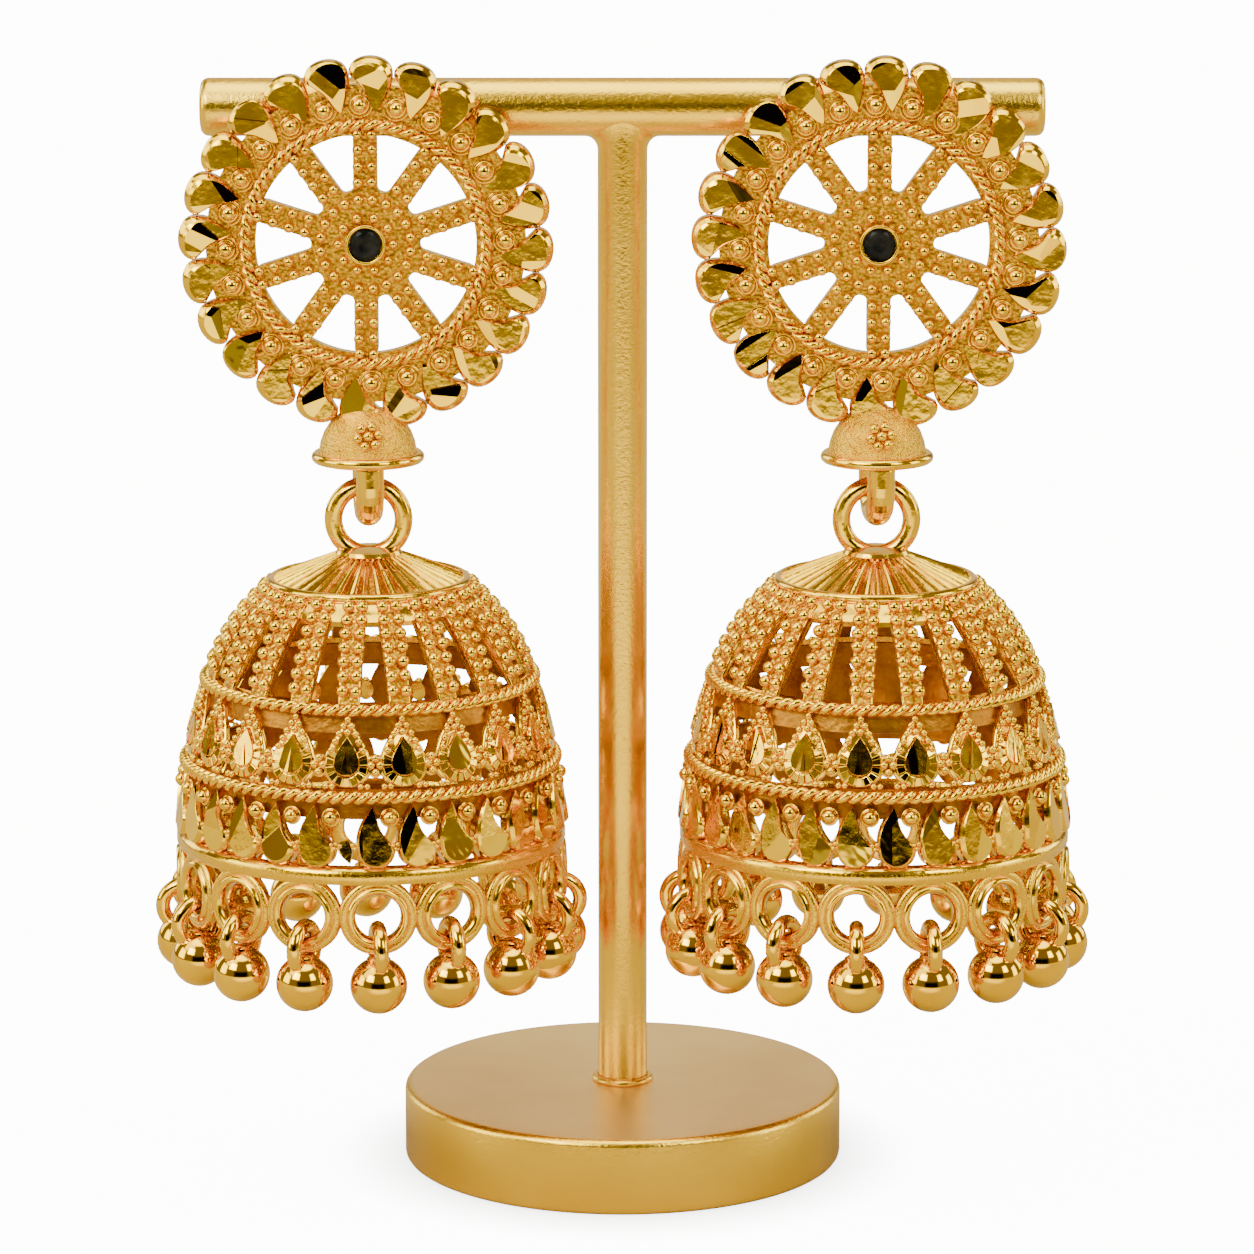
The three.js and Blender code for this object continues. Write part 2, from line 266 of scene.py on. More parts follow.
FINISHES = {
    "polished": polished_gold(),
    "mirror": mirror_gold(),
    "cut": cut_gold(),
    "grained": grained_gold(),
    "blasted": blasted_gold(),
    "brushed": brushed_gold(),
    "satin": satin_gold(),
    "matt": matt_gold_painted_pale(),
    "stone": black_stone(),
    # The inner finish is a dark red-brown painted shade for backs and insides.
    "inner": painted_shade_gold(),
}
FINISH_NUMBERS = {name: number for number, name in enumerate(FINISHES)}


# Shaping


def paint(faces, name, smooth=True):
    for face in faces:
        face.material_index = FINISH_NUMBERS[name]
        face.smooth = smooth


def turned(rows, steps, name="polished", closed=True, angle=FULL_TURN):
    """An outline of (radius, height) rows turned about Z. A closed outline comes back to its first row."""
    bm = bmesh.new()
    outline = [bm.verts.new((radius, 0, height)) for radius, height in rows]
    following = outline[1:] + (outline[:1] if closed else [])
    edges = [bm.edges.new(pair) for pair in zip(outline, following)]
    whole = abs(angle - FULL_TURN) < 1e-6
    bmesh.ops.spin(
        bm, geom=outline + edges, cent=CENTRE, axis=UP, angle=angle, steps=steps, use_merge=whole
    )
    bmesh.ops.remove_doubles(bm, verts=bm.verts, dist=1e-4)
    bmesh.ops.holes_fill(bm, edges=bm.edges, sides=0)
    paint(bm.faces, name)
    bmesh.ops.recalc_face_normals(bm, faces=bm.faces)
    return bm


def round_wire(radius, wire, steps, sides=12, name="polished", angle=FULL_TURN):
    """A round wire bent to a ring, or part of one, about Z."""
    rows = [
        (radius + wire * math.cos(FULL_TURN * side / sides), wire * math.sin(FULL_TURN * side / sides))
        for side in range(sides)
    ]
    return turned(rows, steps, name, angle=angle)


def bead(radius, fineness=2, name="polished"):
    bm = bmesh.new()
    bmesh.ops.create_icosphere(bm, subdivisions=fineness, radius=radius)
    paint(bm.faces, name)
    return bm


def wire_along(points, radius, sides=8, name="polished"):
    """A round wire drawn through points, its two ends closed."""
    bm = bmesh.new()
    bmesh.ops.create_circle(bm, cap_ends=True, radius=radius, segments=sides)
    heading = (points[1] - points[0]).normalized()
    facing = UP.rotation_difference(heading).to_matrix().to_4x4()
    bmesh.ops.transform(bm, matrix=Matrix.Translation(points[0]) @ facing, verts=bm.verts)
    end = bm.faces[:][0]
    for index in range(1, len(points)):
        grown = bmesh.ops.extrude_face_region(bm, geom=[end])
        verts = new_verts(grown)
        end = next(item for item in grown["geom"] if isinstance(item, bmesh.types.BMFace))
        after = (points[min(index + 1, len(points) - 1)] - points[index - 1]).normalized()
        bend = heading.rotation_difference(after).to_matrix()
        bmesh.ops.rotate(bm, cent=points[index - 1], matrix=bend, verts=verts)
        bmesh.ops.translate(bm, vec=points[index] - points[index - 1], verts=verts)
        heading = after
    paint(bm.faces, name)
    bmesh.ops.recalc_face_normals(bm, faces=bm.faces)
    return bm


def twisted_ring(radius, strand, twists, steps=9, sides=6):
    """Two wires twisted together and bent to a ring about Z."""
    length = FULL_TURN * radius
    lay = math.atan2(FULL_TURN * strand * twists, length)
    count = twists * steps
    bm = bmesh.new()
    for turn in (0, math.pi):
        aside = Matrix.Rotation(turn, 4, "Z") @ Matrix.Translation((strand, 0, 0))
        start = aside @ Matrix.Rotation(-lay, 4, "X")
        verts = bmesh.ops.create_circle(bm, radius=strand, segments=sides, matrix=start)["verts"]
        edges = list({edge for vert in verts for edge in vert.link_edges})
        step = Vector((0, 0, length / count))
        bmesh.ops.spin(
            bm, geom=verts + edges, cent=CENTRE, axis=UP, dvec=step, angle=FULL_TURN * twists, steps=count
        )
    for vert in bm.verts:
        round_by = vert.co.z / radius
        out = radius + vert.co.x
        vert.co = (out * math.cos(round_by), out * math.sin(round_by), vert.co.y)
    bmesh.ops.remove_doubles(bm, verts=bm.verts, dist=1e-3)
    paint(bm.faces, "polished")
    bmesh.ops.recalc_face_normals(bm, faces=bm.faces)
    return bm


def comma_pad(half_width, half_length, thick, sway=0.0, hook=0.0, bite=0.0, taper=0.6, crown=0.84):
    """A pad like a comma, its head up and its tail down. Sway bows the neck to the right, hook moves the
    tip, and bite hollows the neck's left side. The sides round in to a top that is crown times as wide."""
    bm = bmesh.new()
    bmesh.ops.create_circle(bm, cap_ends=True, radius=1, segments=36)
    top = bm.faces[:]
    for level in (0.55, 0.7, 0.85, 1.0):
        grown = bmesh.ops.extrude_face_region(bm, geom=top)["geom"]
        top = [item for item in grown if isinstance(item, bmesh.types.BMFace)]
        for vert in top[0].verts:
            vert.co.z = level
    shoulder = taper / (1 + taper)
    widest = math.sqrt(1 - shoulder**2) * ((1 + shoulder) / 2) ** taper
    for vert in bm.verts:
        across, along, level = vert.co
        down = max(0.0, (shoulder - along) / (1 + shoulder))
        inward = (1 - crown) * max(0.0, (level - 0.5) / 0.5) ** 2
        width = half_width / widest * max(0.0, (1 + along) / 2) ** taper * (1 - inward)
        if across < 0:
            width *= 1 - bite * math.sin(math.pi * down)
        spine = sway * math.sin(math.pi * down) + hook * down * down
        vert.co = (spine + across * width, along * (half_length - inward * half_width), level * thick)
    bmesh.ops.remove_doubles(bm, verts=bm.verts, dist=0.02)
    paint(bm.faces, "polished")
    bmesh.ops.recalc_face_normals(bm, faces=bm.faces)
    return bm


def cut_facet(bm, point, tilt, heading):
    """Slices the top off along a plane through point, tilted down towards heading, and marks the cut."""
    lean, way = math.radians(tilt), math.radians(heading)
    normal = Vector((math.sin(lean) * math.sin(way), math.sin(lean) * math.cos(way), math.cos(lean)))
    everything = bm.verts[:] + bm.edges[:] + bm.faces[:]
    sliced = bmesh.ops.bisect_plane(bm, geom=everything, plane_co=point, plane_no=normal, clear_outer=True)
    drawn = [item for item in sliced["geom_cut"] if isinstance(item, bmesh.types.BMEdge)]
    edges = [edge for edge in drawn if edge.is_boundary]
    if edges:
        filled = bmesh.ops.holes_fill(bm, edges=edges, sides=0)["faces"]
        paint(filled, "cut", smooth=False)
        bmesh.ops.recalc_face_normals(bm, faces=bm.faces)


def soften(bm, width, sharper_than=50, segments=2):
    """Rounds the edges that turn by more than an angle."""
    limit = math.radians(sharper_than)
    sharp = [edge for edge in bm.edges if edge.is_manifold and edge.calc_face_angle() > limit]
    bmesh.ops.bevel(
        bm,
        geom=sharp,
        offset=width,
        segments=segments,
        profile=0.5,
        affect="EDGES",
        material=-1,
        clamp_overlap=True,
    )


def new_verts(grown):
    """The vertices among what a mesh operation made."""
    return [item for item in grown["geom"] if isinstance(item, bmesh.types.BMVert)]


def as_part(bm):
    """A shaped part as a mesh that can be stamped many times."""
    mesh = bpy.data.meshes.new("part")
    bm.to_mesh(mesh)
    bm.free()
    return mesh


def stamp(piece, part, matrix=None):
    """Adds a copy of a part to a piece."""
    place = matrix or Matrix.Identity(4)
    part.transform(place)
    piece.from_mesh(part)
    part.transform(place.inverted())


def stamp_once(piece, bm, matrix=None):
    part = as_part(bm)
    stamp(piece, part, matrix)
    bpy.data.meshes.remove(part)


def on_wall(angle, radius, height, lean=0.0):
    """A place on the bell: X runs round to the right, Y up the wall, Z outwards. Angle 0 is the front."""
    around, back = math.radians(angle), math.radians(lean)
    right = Vector((math.cos(around), math.sin(around), 0))
    out = Vector((math.sin(around) * math.cos(back), -math.cos(around) * math.cos(back), math.sin(back)))
    up = out.cross(right)
    columns = Matrix((right, up, out)).transposed().to_4x4()
    place = Vector((radius * math.sin(around), -radius * math.cos(around), height))
    return Matrix.Translation(place) @ columns


def on_wheel(angle, radius=0.0):
    """A place on the wheel's front: X runs clockwise, Y away from the middle, Z towards the viewer."""
    around = math.radians(angle)
    right = Vector((math.cos(around), 0, -math.sin(around)))
    away = Vector((math.sin(around), 0, math.cos(around)))
    columns = Matrix((right, away, Vector((0, -1, 0)))).transposed().to_4x4()
    place = Vector((0, WHEEL_FRONT, WHEEL_Z)) + away * radius
    return Matrix.Translation(place) @ columns


def moved(x, y, z=0.0):
    return Matrix.Translation((x, y, z))


def turned_by(angle, axis="Z"):
    return Matrix.Rotation(math.radians(angle), 4, axis)


def finished(piece, name, body, nodes, place=None):
    """Turns a piece into metres, marks its hard edges, and hands it to the frame in place of CAD nodes."""
    if place is not None:
        bmesh.ops.transform(piece, matrix=place, verts=piece.verts)
    for edge in piece.edges:
        if not edge.is_manifold or not all(face.smooth for face in edge.link_faces):
            edge.smooth = False
        elif edge.calc_face_angle() > math.radians(48):
            edge.smooth = False
    bmesh.ops.scale(piece, vec=(MM, MM, MM), verts=piece.verts)
    used = sorted({face.material_index for face in piece.faces})
    for face in piece.faces:
        face.material_index = used.index(face.material_index)
    mesh = bpy.data.meshes.new(name)
    piece.to_mesh(mesh)
    piece.free()
    for number in used:
        mesh.materials.append(list(FINISHES.values())[number])
    thing = bpy.data.objects.new(name, mesh)
    bpy.context.scene.collection.objects.link(thing)
    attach(thing, body)
    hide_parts(*nodes)
    return thing


# Stand


def stand_base():
    top, low = BASE_HEIGHT, 0.0
    arc = [
        (BASE_RADIUS - BASE_BEVEL * (1 - math.cos(angle)), BASE_BEVEL * math.sin(angle))
        for angle in QUARTER_STEPS
    ]
    rows = [(0, low)]
    rows += [(radius, low + BASE_BEVEL - rise) for radius, rise in reversed(arc)]
    rows += [(radius, top - BASE_BEVEL + rise) for radius, rise in arc]
    rows += [(BASE_RADIUS - BASE_BEVEL - 0.6, top), (POST_RADIUS, top), (0, top)]
    piece = turned(rows, 192, "satin", closed=False)
    level = [face for face in piece.faces if face.normal.z > 0.99]
    # The top is painted a paler gold, standing for the light that falls on it.
    paint([face for face in level if face.calc_center_median().z > top - 0.01], "matt")
    finished(piece, "base_disc", "stand", ["stand_base"])


def fillet():
    """The swept collar where the post meets the bar, its top edge lying on the bar's round."""
    rows = [(POST_RADIUS, level / 6) for level in range(7)]
    collar = turned(rows, 64, "satin", closed=False)
    ends = [face for face in collar.faces if len(face.verts) > 4]
    bmesh.ops.delete(collar, geom=ends, context="FACES_ONLY")
    for vert in collar.verts:
        share, around = vert.co.z, math.atan2(vert.co.x, -vert.co.y)
        facing = abs(math.cos(around))
        climb = math.radians(FILLET_CLIMB) * facing
        under = BAR_Z - math.sqrt(BAR_RADIUS**2 - (POST_RADIUS * facing) ** 2) - FILLET_LENGTH
        low = Vector((POST_RADIUS * math.sin(around), -POST_RADIUS * math.cos(around), under))
        side = math.copysign(1, math.cos(around))
        high = Vector(
            (
                FILLET_REACH * math.sin(around),
                -side * BAR_RADIUS * math.sin(climb),
                BAR_Z - BAR_RADIUS * math.cos(climb),
            )
        )
        across, rise = 1 - math.cos(share * math.pi / 2), math.sin(share * math.pi / 2)
        vert.co = (
            low.x + (high.x - low.x) * across,
            low.y + (high.y - low.y) * across,
            low.z + (high.z - low.z) * rise,
        )
    return collar


def stand_tee():
    piece = bmesh.new()
    top = BASE_HEIGHT
    rows = [(0, top + 0.03), (POST_RADIUS, top + 0.03), (POST_RADIUS, BAR_Z - 1.2), (0, BAR_Z - 1.2)]
    stamp_once(piece, turned(rows, 64, "satin", closed=False))
    stamp_once(piece, round_wire(POST_RADIUS + 0.22, COLLAR_WIRE, 64, 10, "satin"), moved(0, 0, top + 0.2))
    stamp_once(piece, fillet())
    half = BAR_LENGTH / 2
    arc = [
        (BAR_RADIUS - BAR_EDGE * (1 - math.cos(angle)), half - BAR_EDGE * (1 - math.sin(angle)))
        for angle in QUARTER_STEPS
    ]
    rows = [(0, -half)] + [(radius, -along) for radius, along in reversed(arc)] + arc + [(0, half)]
    stamp_once(piece, turned(rows, 64, "satin", closed=False), moved(0, 0, BAR_Z) @ turned_by(90, "Y"))
    finished(piece, "post_and_bar", "stand", ["stand_tee"])


# Stud


def wheel_plate():
    """The hub, spokes and outer ring as one plate with ten openings, its face at Z 0."""
    bm = bmesh.new()
    half = 180 / SPOKES
    inner, outer = HUB_RADIUS - SPOKE_HALF, OPENING_RADIUS + SPOKE_HALF
    corners = [(inner, -half), (inner, 0), (inner, half)]
    corners += [(outer, half - half * step / 6) for step in range(13)]
    places = [(r * math.sin(math.radians(a)), r * math.cos(math.radians(a)), 0) for r, a in corners]
    wedge = bm.faces.new([bm.verts.new(place) for place in places])
    bm.normal_update()
    bmesh.ops.inset_region(bm, faces=[wedge], thickness=SPOKE_HALF, use_boundary=True, use_even_offset=True)
    sharp = [loop.vert for loop in wedge.loops if loop.calc_angle() < math.radians(130)]
    bmesh.ops.bevel(bm, geom=sharp, offset=0.3, segments=3, profile=0.5, affect="VERTICES", material=-1)
    opening = max(bm.faces, key=lambda face: face.calc_area())
    bmesh.ops.delete(bm, geom=[opening], context="FACES_ONLY")
    everything = bm.verts[:] + bm.edges[:] + bm.faces[:]
    rest_of_turn = math.radians(360 - 360 / SPOKES)
    bmesh.ops.spin(
        bm, geom=everything, cent=CENTRE, axis=UP, angle=rest_of_turn, steps=SPOKES - 1, use_duplicate=True
    )
    bmesh.ops.remove_doubles(bm, verts=bm.verts, dist=0.01)
    open_edges = [edge for edge in bm.edges if edge.is_boundary]
    hub = [edge for edge in open_edges if max(vert.co.length for vert in edge.verts) < inner + 0.05]
    bmesh.ops.edgeloop_fill(bm, edges=hub)
    open_edges = [edge for edge in bm.edges if edge.is_boundary]
    rim = [edge for edge in open_edges if min(vert.co.length for vert in edge.verts) > outer - 0.05]
    away = new_verts(bmesh.ops.extrude_edge_only(bm, edges=rim))
    bmesh.ops.scale(bm, vec=(PLATE_RADIUS / outer, PLATE_RADIUS / outer, 1), verts=away)
    bmesh.ops.recalc_face_normals(bm, faces=bm.faces)
    if bm.faces[:][0].normal.z < 0:
        bmesh.ops.reverse_faces(bm, faces=bm.faces)
    back = new_verts(bmesh.ops.extrude_face_region(bm, geom=bm.faces[:], use_keep_orig=True))
    bmesh.ops.translate(bm, vec=(0, 0, -WHEEL_THICK), verts=back)
    bmesh.ops.recalc_face_normals(bm, faces=bm.faces)
    soften(bm, 0.1)
    paint(bm.faces, "polished")
    bmesh.ops.recalc_face_normals(bm, faces=bm.faces)
    flat = [face for face in bm.faces if min(vert.co.z for vert in face.verts) > -0.01]
    paint(flat, "grained", smooth=False)
    return bm


def cut_pad(half_width, half_length, thick, cuts, rim, **shape):
    """A comma pad with its top cut to facets, and a bright rim rounded where the cuts meet its side."""
    pad = comma_pad(half_width, half_length, thick, **shape)
    for point, tilt, heading in cuts:
        cut_facet(pad, point, tilt, heading)
    soften(pad, rim)
    return pad


def wheel_petal(angle):
    """One comma petal, head outwards, cut by hand so that no two are quite alike. Angle is its place on the
    wheel, and the broad cut leans down towards the floor."""
    cuts = [
        ((0, 0.7, 1.6), chance.uniform(4, 10), 180 - angle + chance.uniform(-50, 50)),
        ((0.4, -0.3, 1.52), chance.uniform(10, 15), chance.uniform(110, 150)),
        ((-0.5, 0.9, 1.56), chance.uniform(7, 13), chance.uniform(0, 360)),
    ]
    return cut_pad(1.58, 2.02, 1.75, cuts, 0.1, sway=0.1, hook=0.5, bite=0.5, taper=0.62, crown=0.52)


def seated_ball(radius, seat, wire, reach=360):
    """A ball in a ring of round wire."""
    bm = bmesh.new()
    stamp_once(bm, bead(radius, 3), moved(0, 0, radius * 0.55))
    stamp_once(bm, round_wire(seat, wire, 24, 8, angle=math.radians(reach)), moved(0, 0, wire * 0.6))
    return bm


def black_gem():
    """A small round stone with a flat table and a crown of triangular facets."""
    sides = 12
    rows = [(0, 0.3), (STONE_RADIUS, 0.42), (STONE_RADIUS, 0.52), (0.88, 0.72), (0.5, 0.82), (0, 0.82)]
    gem = turned(rows, sides, "stone", closed=False)
    middle = [vert for vert in gem.verts if abs(math.hypot(vert.co.x, vert.co.y) - 0.88) < 0.01]
    bmesh.ops.rotate(gem, cent=CENTRE, matrix=Matrix.Rotation(math.pi / sides, 3, "Z"), verts=middle)
    bmesh.ops.triangulate(gem, faces=[face for face in gem.faces if len(face.verts) == 4])
    paint(gem.faces, "stone", smooth=False)
    return gem


def stud(side):
    piece = bmesh.new()
    face = on_wheel(0)
    small, middling = as_part(bead(0.36)), as_part(bead(0.4))
    stamp_once(piece, wheel_plate(), face @ turned_by(180 / SPOKES))
    for spoke in range(SPOKES):
        angle = 360 / SPOKES * spoke
        stamp(piece, small, on_wheel(angle + 18, 1.95) @ moved(0, 0, 0.2))
        for aside in (-1, 1):
            stamp(piece, middling, on_wheel(angle + aside * 9, 3.2) @ moved(0, 0, 0.22))
            for radius in (4.4, 5.55, 6.7, 7.8):
                near = moved(aside * 0.5 + chance.uniform(-0.03, 0.03), chance.uniform(-0.05, 0.05), 0.22)
                stamp(piece, middling, on_wheel(angle, radius) @ near)
    stamp_once(piece, twisted_ring(WHEEL_ROPE_RADIUS, 0.24, 30, 12, 8), face @ moved(0, 0, 0.28))
    ball = as_part(seated_ball(0.52, 0.58, 0.14))
    curl = as_part(round_wire(0.84, 0.13, 16, 8, angle=math.radians(220)))
    for petal in range(PETALS):
        angle = 2 + 360 / PETALS * petal
        stamp_once(piece, wheel_petal(angle), on_wheel(angle, PETAL_MIDDLE) @ moved(0, 0, -0.95))
        stamp(piece, ball, on_wheel(angle, PETAL_BALL_CIRCLE) @ moved(-0.68, 0, 0.16))
        stamp(piece, curl, on_wheel(angle, PETAL_BALL_CIRCLE) @ moved(-0.68, 0, 0.12) @ turned_by(200))
    cup = turned([(1.0, 0), (1.5, 0), (1.42, 0.55), (1.2, 0.6), (1.18, 0.2), (1.0, 0.2)], 40)
    stamp_once(piece, cup, face)
    stamp_once(piece, round_wire(1.31, 0.13, 40, 10), face @ moved(0, 0, 0.6))
    pin = turned([(0, 0), (0.45, 0), (0.45, 8.3), (0.3, 8.6), (0, 8.6)], 20, closed=False)
    stamp_once(piece, pin, Matrix.Translation((0, -3.0, BAR_Z)) @ turned_by(-90, "X"))
    stamp_once(piece, cap_and_hook())
    finished(piece, f"{side}_wheel", "stand", [f"{side}_stud"], moved(EARRING_X[side], 0))
    gem = bmesh.new()
    stamp_once(gem, black_gem(), face)
    finished(gem, f"{side}_gem", "stand", [f"{side}_stone"], moved(EARRING_X[side], 0))
    rows = [(0, 2.4), (2.0, 2.4), (2.1, 2.5), (2.1, 3.2), (1.98, 3.4)]
    rows += [(2.1, 3.6), (2.1, 4.25), (1.95, 4.4), (0, 4.4)]
    nut = turned(rows, 48, closed=False)
    place = Matrix.Translation((EARRING_X[side], 0, BAR_Z)) @ turned_by(-90, "X")
    finished(nut, f"{side}_nut", "stand", [f"{side}_screw_back"], place)


def cap_and_hook():
    """The blasted dome with its rolled rim and bead flower, and the hook that carries the bell."""
    bm = bmesh.new()
    axis = moved(0, HANG_Y)
    rows = [(0, 55.9), (1.0, 55.82), (1.9, 55.5), (2.65, 54.85), (3.1, 54.15), (3.38, 53.4), (3.5, 52.7)]
    rows += [(3.55, 52.2), (3.3, 51.95), (2.8, 53.4), (0, 54.5)]
    stamp_once(bm, turned(rows, 64, "blasted", closed=False), axis)
    stamp_once(bm, round_wire(CAP_RIM - 0.42, 0.4, 72, 12), axis @ moved(0, 0, CAP_RIM_Z))
    petal = as_part(bead(0.38))
    flower = axis @ on_wall(3, 3.02, 54.2, 24)
    for number in range(6):
        stamp(bm, petal, flower @ turned_by(60 * number + 10) @ moved(0.76, 0, 0.1))
    stamp(bm, petal, flower @ moved(0, 0, 0.2))
    legs = [(1.6, HOOK_TOP), (1.9, 53.0), (2.15, 51.6)]
    bend = []
    for degrees in range(0, 181, 12):
        angle = math.radians(degrees)
        bend.append((HOOK_BEND * math.cos(angle), HOOK_Z - HOOK_BEND * math.sin(angle)))
    way = legs + bend + [(-y, z) for y, z in reversed(legs)]
    hook = wire_along([Vector((0, -y, z)) for y, z in way], HOOK_WIRE, 20)
    stamp_once(bm, hook, axis @ turned_by(HOOK_YAW))
    return bm


# Bell

RIB_LINE = [(6.9, 43.35), (7.7, 42.5), (8.75, 41.4), (9.8, 40.05), (10.65, 38.6), (11.35, 37.1)]
RIB_LINE += [(11.75, 36.0)]


def down_the_wall(line, distance):
    """The radius, height and lean back at a distance down an outline."""
    for (r0, z0), (r1, z1) in zip(line, line[1:]):
        length = math.hypot(r1 - r0, z1 - z0)
        share = distance / length
        if share <= 1:
            break
        distance -= length
    return r0 + (r1 - r0) * share, z0 + (z1 - z0) * share, math.degrees(math.atan2(r1 - r0, z0 - z1))


def rib():
    """A beaded rib of even width, lying at the front of the bell's wall."""
    bm = bmesh.new()
    inner = []
    for distance in (6.4, 5.0, 3.5, 2.0, 0.3):
        radius, height, lean = down_the_wall(RIB_LINE, distance)
        back = math.radians(lean)
        inner.append((radius - 0.75 * math.cos(back), height - 0.75 * math.sin(back)))
    outline = [bm.verts.new((-RIB_HALF, -radius, height)) for radius, height in RIB_LINE + inner]
    side = bm.faces.new(outline)
    across = new_verts(bmesh.ops.extrude_face_region(bm, geom=[side]))
    bmesh.ops.translate(bm, vec=(2 * RIB_HALF, 0, 0), verts=across)
    bmesh.ops.recalc_face_normals(bm, faces=bm.faces)
    soften(bm, 0.14, 60)
    paint(bm.faces, "polished")
    bmesh.ops.recalc_face_normals(bm, faces=bm.faces)
    paint([face for face in bm.faces if abs(face.normal.x) < 0.2 and face.normal.y < -0.3], "grained")
    # The rib's back, facing into the bell, takes the dark inner finish as painted shade.
    paint([face for face in bm.faces if face.normal.y > 0.2], "inner")
    drop = as_part(bead(0.46))
    for pair in range(7):
        radius, height, lean = down_the_wall(RIB_LINE, 0.8 + 1.07 * pair)
        for aside in (-0.5, 0.5):
            near = moved(aside + chance.uniform(-0.03, 0.03), chance.uniform(-0.05, 0.05), 0.17)
            stamp(bm, drop, on_wall(0, radius, height, lean) @ near)
    return bm


def fluted_crown():
    """The shallow cone under the hanging ring: forty thin ridges with broad hollows between them."""
    flutes, steps = 40, 8
    top = [(2.1, 45.4), (3.2, 44.95), (4.4, 44.45), (5.6, 43.95), (6.85, 43.4)]
    rows = top + [(6.6, 42.9), (2.1, 44.6)]
    crown = turned(rows, flutes * steps)
    for vert in crown.verts:
        radius = math.hypot(vert.co.x, vert.co.y)
        share = (radius - 2.1) / 4.75
        if vert.co.z > 45.2 - 2.1 * share:
            place = (math.degrees(math.atan2(vert.co.y, vert.co.x)) % (360 / flutes)) / (360 / flutes)
            ridge = max(0.0, 1 - 5 * min(place, 1 - place))
            vert.co.z += (0.1 + 0.18 * share) * (ridge - 0.35)
    bmesh.ops.recalc_face_normals(crown, faces=crown.faces)
    return crown


def shade_back_faces(bm):
    """Gives the faces that look back into the bell the dark red-brown of painted shade. The part lies in
    its wall frame.
    """
    bm.normal_update()
    paint([face for face in bm.faces if face.normal.z < -0.35], "inner")


def shade_bell_inside(bm):
    """Gives the faces that look in towards the bell's axis the dark red-brown of painted shade."""
    bm.normal_update()
    for face in bm.faces:
        outwards = face.calc_center_median().xy.normalized()
        if face.normal.xy.dot(outwards) < -0.35:
            paint([face], "inner")


def finished_on_bell(piece, side, name, nodes):
    """Finishes a piece that swings with a bell, set under its hook."""
    finished(piece, f"{side}_{name}", f"{side}_bell", nodes, moved(EARRING_X[side], HANG_Y))


def bell_crown(side):
    piece = bmesh.new()
    stamp_once(piece, fluted_crown())
    boss = [(0, 45.2), (2.2, 45.2), (2.4, 45.35), (2.25, 45.6), (1.2, 45.8), (0, 45.8)]
    stamp_once(piece, turned(boss, 48, closed=False))
    upright = moved(0, 0, BELL_RING_Z) @ turned_by(90, "X")
    stamp_once(piece, round_wire(BELL_RING_RADIUS, BELL_RING_WIRE, 56, 16), upright)
    stamp_once(piece, round_wire(6.95, 0.34, 128, 12), moved(0, 0, 43.35))
    band = [(6.3, 43.4), (7.0, 43.15), (7.5, 42.85), (7.7, 42.4), (8.25, 41.95), (7.8, 41.5), (6.1, 42.8)]
    collar = turned(band, 128)
    # The collar's inward faces take the dark inner finish as painted shade.
    shade_bell_inside(collar)
    stamp_once(piece, collar)
    stamp_once(piece, turned([(11.0, 36.85), (11.6, 36.75), (11.8, 36.05), (11.2, 35.9)], 128))
    one = as_part(rib())
    for number in range(RIBS):
        stamp(piece, one, turned_by(STARTS[side]["rib"] + 360 / RIBS * number))
    # A dark red-brown band under the upper rope: painted shade behind the plaques' tips.
    stamp_once(piece, turned([(11.0, 36.4), (11.35, 36.4), (11.8, 34.8), (11.45, 34.7)], 128, "inner"))
    stamp_once(piece, twisted_ring(UPPER_ROPE[0], 0.25, 43, 12, 8), moved(0, 0, UPPER_ROPE[1]))
    finished_on_bell(piece, side, "crown", [f"{side}_bell"])


def plaque():
    """A teardrop plaque: a cut mirror in the middle, cut cells round its foot and beads up to its tip."""
    bm = bmesh.new()
    point_up = turned_by(180)
    back = comma_pad(1.72, 2.5, 0.4, taper=0.7)
    soften(back, 0.08)
    # The plaque's back takes the dark inner finish as painted shade.
    shade_back_faces(back)
    stamp_once(bm, back, moved(0, 0.25, -0.3) @ point_up)
    cuts = [
        ((0, 0, 0.52), chance.uniform(4, 9), chance.uniform(80, 110)),
        ((0, 0, 0.52), chance.uniform(5, 11), chance.uniform(-110, -80)),
    ]
    stamp_once(bm, cut_pad(0.92, 1.4, 0.6, cuts, 0.05), moved(0, -0.1, 0.05) @ point_up)
    for number in range(11):
        angle = (number - 5) * 25
        cell = bmesh.new()
        bmesh.ops.create_cube(cell, size=1)
        bmesh.ops.scale(cell, vec=(0.47, 0.62, 0.5), verts=cell.verts)
        for vert in cell.verts:
            vert.co.x *= 1.12 if vert.co.y < 0 else 0.8
        paint(cell.faces, "polished")
        cut_facet(cell, (0, 0, 0.17), 10 + chance.uniform(-3, 3), 180)
        soften(cell, 0.05)
        stretch = moved(0, 0.25 * max(0.0, -math.cos(math.radians(angle))), 0)
        place = moved(0, -0.72, 0.12) @ stretch @ turned_by(angle) @ moved(0, -1.19, 0)
        stamp_once(bm, cell, place)
    grain = as_part(bead(0.26))
    for x, y in ((1.12, 0.35), (0.86, 0.95), (0.6, 1.5), (0.3, 2.05)):
        stamp(bm, grain, moved(x, y, 0.22))
        stamp(bm, grain, moved(-x, y, 0.22))
    stamp(bm, grain, moved(0, 1.62, 0.24))
    stamp(bm, grain, moved(0, 2.5, 0.2))
    return bm


